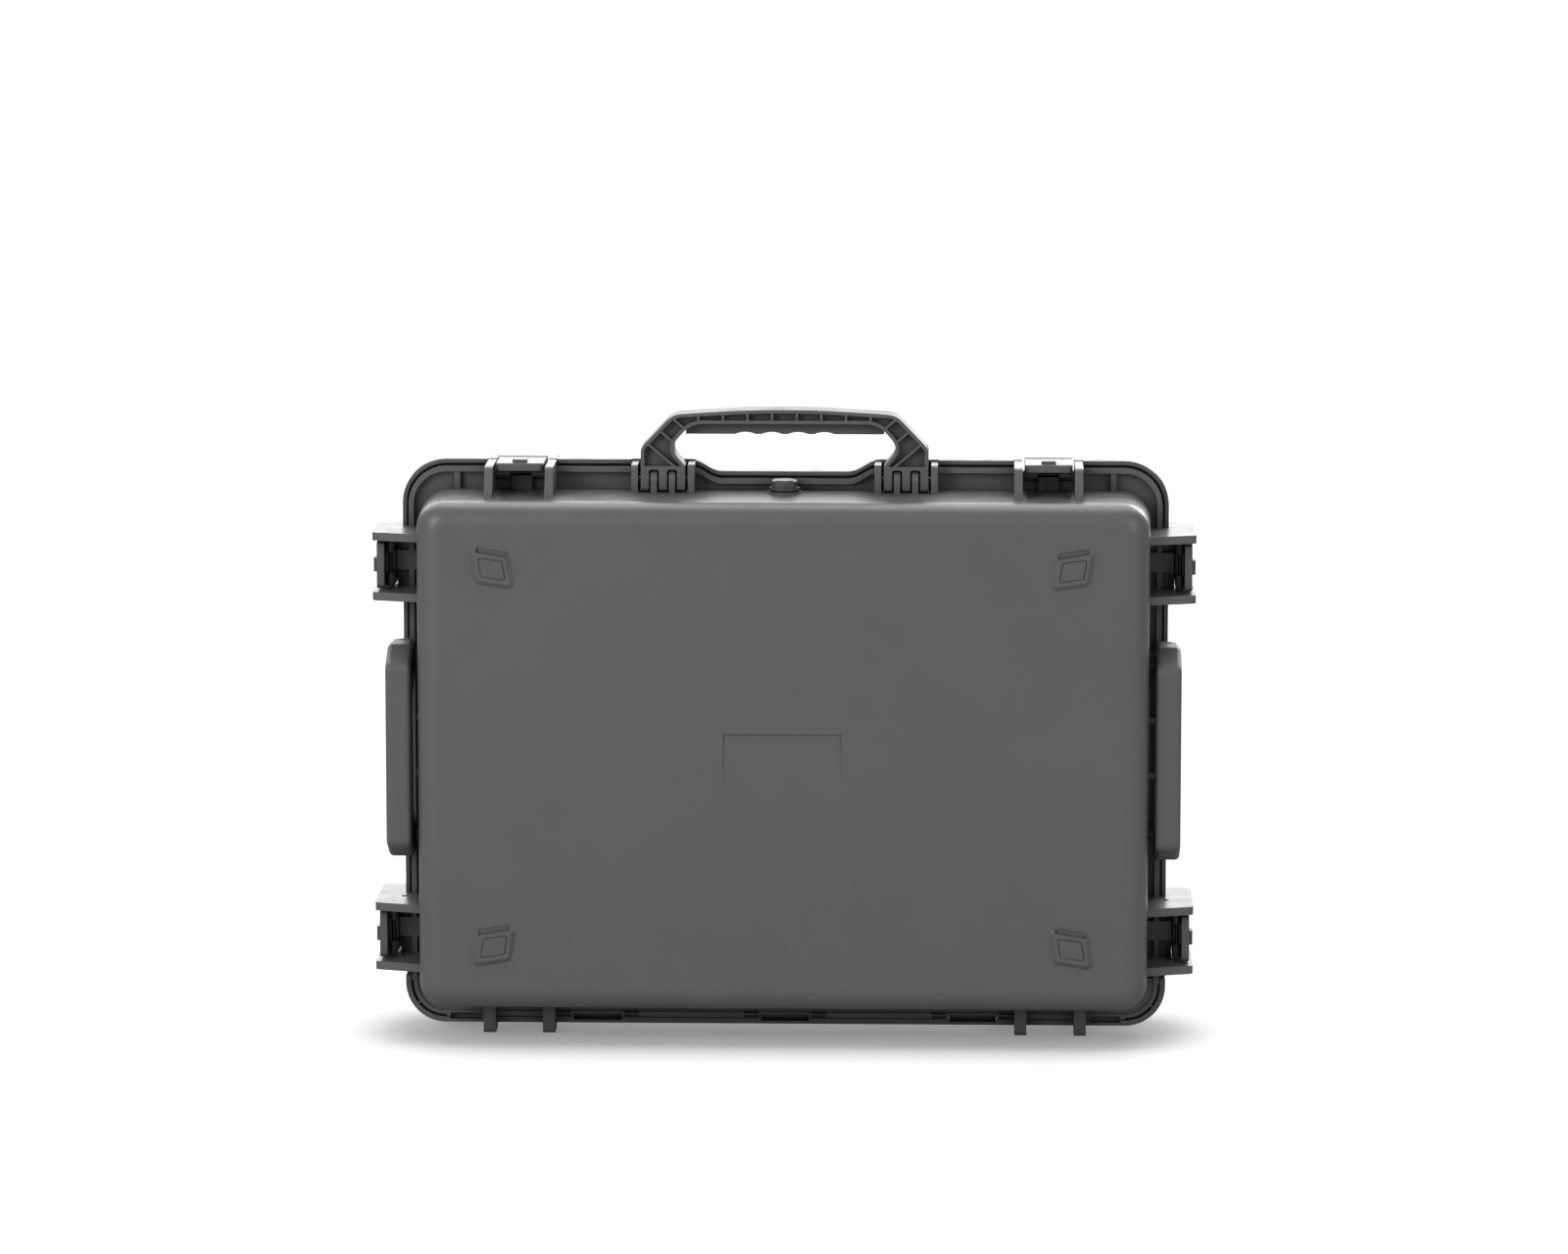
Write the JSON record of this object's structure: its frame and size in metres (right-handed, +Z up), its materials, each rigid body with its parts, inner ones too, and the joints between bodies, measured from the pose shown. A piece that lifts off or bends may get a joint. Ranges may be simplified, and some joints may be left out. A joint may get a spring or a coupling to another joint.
{
  "type": "laptop hard case",
  "caption": "Shallow moulded hard case with a hinged lid, over-centre latches, a fold-down carry handle, side handles and a purge valve, foam-lined for laptops.",
  "frame": {"origin": "middle of the footprint, on the floor plane that the stand feet rest on, half way through the depth", "axes": "+X to the right seen from the base's bottom face, +Z up to the carry handle, +Y from the base's bottom face to the lid"},
  "size_m": [0.6558, 0.154, 0.5068],
  "materials": {
    "shell_plastic": "fine-grained matte moulding",
    "handle_plastic": "matte moulding, slightly darker",
    "latch_plastic": "matte moulding",
    "valve_plastic": "satin moulding",
    "pad_rubber": "matte rubber",
    "seal_rubber": "soft matte",
    "pin_steel": "black oxide over drawn steel",
    "foam": "cut open-cell foam"
  },
  "bodies": {
    "base": {"base_shell": "shell_plastic", "foot_pads": "pad_rubber", "hinge_pins": "pin_steel", "claw_pins": "pin_steel", "carry_handle_pins": "pin_steel", "side_handle_pins": "pin_steel", "valve_oring": "seal_rubber", "valve_body": "valve_plastic", "valve_nut": "valve_plastic", "base_foam_floor": "foam", "base_foam_walls": "foam", "base_foam_divider": "foam"},
    "lid": {"lid_shell": "shell_plastic", "lid_gasket": "seal_rubber", "lid_foam": "foam"},
    "carry_handle": {"carry_handle": "handle_plastic"},
    "side_handle_left": {"side_handle_left": "handle_plastic"},
    "side_handle_right": {"side_handle_right": "handle_plastic"},
    "valve_knob": {"valve_knob": "valve_plastic"},
    "claw_top_left": {"claw_top_left": "latch_plastic", "lever_pin_top_left": "pin_steel"},
    "lever_top_left": {"lever_top_left": "latch_plastic"},
    "claw_top_right": {"claw_top_right": "latch_plastic", "lever_pin_top_right": "pin_steel"},
    "lever_top_right": {"lever_top_right": "latch_plastic"},
    "claw_upper_left": {"claw_upper_left": "latch_plastic", "lever_pin_upper_left": "pin_steel"},
    "lever_upper_left": {"lever_upper_left": "latch_plastic"},
    "claw_upper_right": {"claw_upper_right": "latch_plastic", "lever_pin_upper_right": "pin_steel"},
    "lever_upper_right": {"lever_upper_right": "latch_plastic"},
    "claw_lower_left": {"claw_lower_left": "latch_plastic", "lever_pin_lower_left": "pin_steel"},
    "lever_lower_left": {"lever_lower_left": "latch_plastic"},
    "claw_lower_right": {"claw_lower_right": "latch_plastic", "lever_pin_lower_right": "pin_steel"},
    "lever_lower_right": {"lever_lower_right": "latch_plastic"}
  },
  "joints": [
    {"name": "lid_hinge", "type": "hinge", "parent": "base", "child": "lid", "pos_m": [0, 0.017, 0.0116], "axis": [-1, 0, 0], "range_deg": [0, 100]},
    {"name": "carry_handle_fold", "type": "hinge", "parent": "base", "child": "carry_handle", "pos_m": [0, -0.0023, 0.4495], "axis": [1, 0, 0], "range_deg": [0, 90]},
    {"name": "side_handle_left_swing", "type": "hinge", "parent": "base", "child": "side_handle_left", "pos_m": [-0.30625, -0.005, 0.234], "axis": [0, 0, -1], "range_deg": [0, 90]},
    {"name": "side_handle_right_swing", "type": "hinge", "parent": "base", "child": "side_handle_right", "pos_m": [0.30625, -0.005, 0.234], "axis": [0, 0, 1], "range_deg": [0, 90]},
    {"name": "valve_knob_turn", "type": "hinge", "parent": "base", "child": "valve_knob", "pos_m": [0, -0.008, 0.4476], "axis": [0, 0, 1], "range_deg": [0, 180]},
    {"name": "claw_top_left_swing", "type": "hinge", "parent": "base", "child": "claw_top_left", "pos_m": [-0.2104, -0.007, 0.4558], "axis": [1, 0, 0], "range_deg": [0, 35]},
    {"name": "lever_top_left_lift", "type": "hinge", "parent": "claw_top_left", "child": "lever_top_left", "pos_m": [-0.2104, 0.015, 0.4558], "axis": [-1, 0, 0], "range_deg": [0, 60]},
    {"name": "claw_top_right_swing", "type": "hinge", "parent": "base", "child": "claw_top_right", "pos_m": [0.2104, -0.007, 0.4558], "axis": [1, 0, 0], "range_deg": [0, 35]},
    {"name": "lever_top_right_lift", "type": "hinge", "parent": "claw_top_right", "child": "lever_top_right", "pos_m": [0.2104, 0.015, 0.4558], "axis": [-1, 0, 0], "range_deg": [0, 60]},
    {"name": "claw_upper_left_swing", "type": "hinge", "parent": "base", "child": "claw_upper_left", "pos_m": [-0.3155, -0.007, 0.3831], "axis": [0, 0, 1], "range_deg": [0, 35]},
    {"name": "lever_upper_left_lift", "type": "hinge", "parent": "claw_upper_left", "child": "lever_upper_left", "pos_m": [-0.3155, 0.015, 0.3831], "axis": [0, 0, -1], "range_deg": [0, 60]},
    {"name": "claw_upper_right_swing", "type": "hinge", "parent": "base", "child": "claw_upper_right", "pos_m": [0.3155, -0.007, 0.3831], "axis": [0, 0, -1], "range_deg": [0, 35]},
    {"name": "lever_upper_right_lift", "type": "hinge", "parent": "claw_upper_right", "child": "lever_upper_right", "pos_m": [0.3155, 0.015, 0.3831], "axis": [0, 0, 1], "range_deg": [0, 60]},
    {"name": "claw_lower_left_swing", "type": "hinge", "parent": "base", "child": "claw_lower_left", "pos_m": [-0.3155, -0.007, 0.0834], "axis": [0, 0, 1], "range_deg": [0, 35]},
    {"name": "lever_lower_left_lift", "type": "hinge", "parent": "claw_lower_left", "child": "lever_lower_left", "pos_m": [-0.3155, 0.015, 0.0834], "axis": [0, 0, -1], "range_deg": [0, 60]},
    {"name": "claw_lower_right_swing", "type": "hinge", "parent": "base", "child": "claw_lower_right", "pos_m": [0.3155, -0.007, 0.0834], "axis": [0, 0, -1], "range_deg": [0, 35]},
    {"name": "lever_lower_right_lift", "type": "hinge", "parent": "claw_lower_right", "child": "lever_lower_right", "pos_m": [0.3155, 0.015, 0.0834], "axis": [0, 0, 1], "range_deg": [0, 60]}
  ],
  "couplings": [
    {"joint": "claw_top_left_swing", "follows": "lever_top_left_lift", "ratio": 0.58333},
    {"joint": "claw_top_right_swing", "follows": "lever_top_right_lift", "ratio": 0.58333},
    {"joint": "claw_upper_left_swing", "follows": "lever_upper_left_lift", "ratio": 0.58333},
    {"joint": "claw_upper_right_swing", "follows": "lever_upper_right_lift", "ratio": 0.58333},
    {"joint": "claw_lower_left_swing", "follows": "lever_lower_left_lift", "ratio": 0.58333},
    {"joint": "claw_lower_right_swing", "follows": "lever_lower_right_lift", "ratio": 0.58333}
  ]
}
